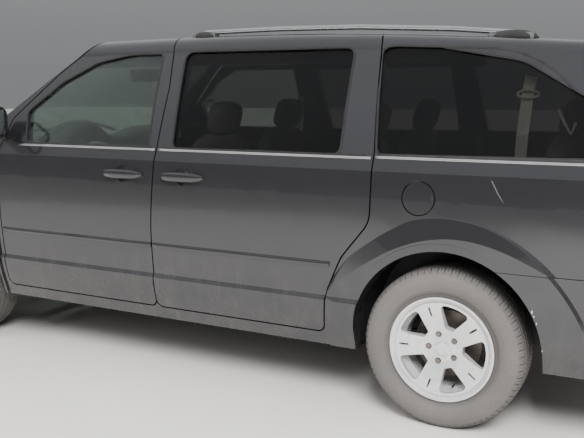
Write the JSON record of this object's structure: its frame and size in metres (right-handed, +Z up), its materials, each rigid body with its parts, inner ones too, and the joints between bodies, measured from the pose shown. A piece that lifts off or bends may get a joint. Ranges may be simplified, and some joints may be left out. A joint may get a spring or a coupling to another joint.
{
  "type": "minivan",
  "caption": "Full-size passenger minivan with hinged front doors, sliding rear doors, roof rails, tinted rear glass and alloy wheels, in dark graphite",
  "frame": {"origin": "on the ground, under the middle of the vehicle's length and width", "axes": "+X is forward, +Y is to the vehicle's left, +Z is up"},
  "size_m": [5.1437, 2.26, 1.785],
  "materials": {
    "body_paint": "dark graphite metallic, dusty",
    "under_paint": "dull primer",
    "black_plastic": "textured",
    "trim_plastic": "soft grained",
    "seat_fabric": "woven",
    "clear_glass": "clear",
    "dark_glass": "privacy tint",
    "lamp_clear": "clear lens",
    "lamp_red": "red lens",
    "tyre": "dusty rubber",
    "alloy": "silver lacquer",
    "disc_iron": "worn and rusty at the hat",
    "black_steel": "black, road dirt",
    "bare_steel": "heat-stained",
    "cast_alloy": "as cast",
    "rail_metal": "satin"
  },
  "bodies": {
    "body": {"body_side_left": "body_paint", "body_side_right": "body_paint", "roof_panel": "body_paint", "windshield": "clear_glass", "front_fenders": "body_paint", "front_bumper": "body_paint", "grille": "black_plastic", "headlamps": "lamp_clear", "tail_lamps": "lamp_red", "rear_bumper": "body_paint", "rear_side_glass": "dark_glass", "sliding_door_left": "body_paint", "sliding_door_right": "body_paint", "wheel_housings": "black_plastic", "floor_pan": "under_paint", "firewall_cowl": "under_paint", "radiator_support": "black_plastic", "engine_block": "cast_alloy", "front_subframe": "black_steel", "rear_axle": "black_steel", "fuel_tank": "black_plastic", "exhaust_system": "bare_steel", "captain_seats": "seat_fabric", "rear_bench": "seat_fabric", "dashboard": "trim_plastic", "roof_rails": "rail_metal"},
    "hood": {"hood": "body_paint"},
    "liftgate": {"liftgate": "body_paint", "liftgate_glass": "dark_glass"},
    "fuel_door": {"fuel_door": "body_paint"},
    "steering_wheel": {"steering_wheel": "trim_plastic"},
    "front_door_left": {"front_door_left": "body_paint", "front_door_glass_left": "clear_glass", "side_mirror_left": "body_paint"},
    "steering_left": {"steering_knuckle_left": "black_steel"},
    "wheel_front_left": {"rim_front_left": "alloy", "tyre_front_left": "tyre", "brake_disc_front_left": "disc_iron"},
    "wheel_rear_left": {"rim_rear_left": "alloy", "tyre_rear_left": "tyre", "brake_disc_rear_left": "disc_iron"},
    "front_door_right": {"front_door_right": "body_paint", "front_door_glass_right": "clear_glass", "side_mirror_right": "body_paint"},
    "steering_right": {"steering_knuckle_right": "black_steel"},
    "wheel_front_right": {"rim_front_right": "alloy", "tyre_front_right": "tyre", "brake_disc_front_right": "disc_iron"},
    "wheel_rear_right": {"rim_rear_right": "alloy", "tyre_rear_right": "tyre", "brake_disc_rear_right": "disc_iron"}
  },
  "joints": [
    {"name": "hood_hinge", "type": "hinge", "parent": "body", "child": "hood", "pos_m": [1.702, 0, 1.052], "axis": [0, -1, 0], "range_deg": [0, 50]},
    {"name": "liftgate_hinge", "type": "hinge", "parent": "body", "child": "liftgate", "pos_m": [-2.13, 0, 1.65], "axis": [0, 1, 0], "range_deg": [0, 80]},
    {"name": "fuel_door_hinge", "type": "hinge", "parent": "body", "child": "fuel_door", "pos_m": [-1.2735, 0.942, 1.024], "axis": [0, 0, -1], "range_deg": [0, 85]},
    {"name": "steering_column", "type": "hinge", "parent": "body", "child": "steering_wheel", "pos_m": [0.862, 0.37, 0.985], "axis": [-0.8988, 0, 0.4384], "range_deg": [-490, 490]},
    {"name": "front_door_left_hinge", "type": "hinge", "parent": "body", "child": "front_door_left", "pos_m": [1.212, 0.934, 0.8], "axis": [0, 0, -1], "range_deg": [0, 65]},
    {"name": "steer_left", "type": "hinge", "parent": "body", "child": "steering_left", "pos_m": [1.6115, 0.752, 0.215], "axis": [0, -0.212, 0.9773], "range_deg": [-35, 35]},
    {"name": "wheel_front_left_spin", "type": "hinge", "parent": "steering_left", "child": "wheel_front_left", "pos_m": [1.6115, 0.832, 0.36], "axis": [0, 1, 0], "continuous": true},
    {"name": "wheel_rear_left_spin", "type": "hinge", "parent": "body", "child": "wheel_rear_left", "pos_m": [-1.4665, 0.8225, 0.36], "axis": [0, 1, 0], "continuous": true},
    {"name": "front_door_right_hinge", "type": "hinge", "parent": "body", "child": "front_door_right", "pos_m": [1.212, -0.934, 0.8], "axis": [0, 0, 1], "range_deg": [0, 65]},
    {"name": "steer_right", "type": "hinge", "parent": "body", "child": "steering_right", "pos_m": [1.6115, -0.752, 0.215], "axis": [0, 0.212, 0.9773], "range_deg": [-35, 35]},
    {"name": "wheel_front_right_spin", "type": "hinge", "parent": "steering_right", "child": "wheel_front_right", "pos_m": [1.6115, -0.832, 0.36], "axis": [0, 1, 0], "continuous": true},
    {"name": "wheel_rear_right_spin", "type": "hinge", "parent": "body", "child": "wheel_rear_right", "pos_m": [-1.4665, -0.8225, 0.36], "axis": [0, 1, 0], "continuous": true}
  ],
  "couplings": [
    {"joint": "steer_right", "follows": "steer_left", "ratio": 1},
    {"joint": "steering_column", "follows": "steer_left", "ratio": 14}
  ]
}
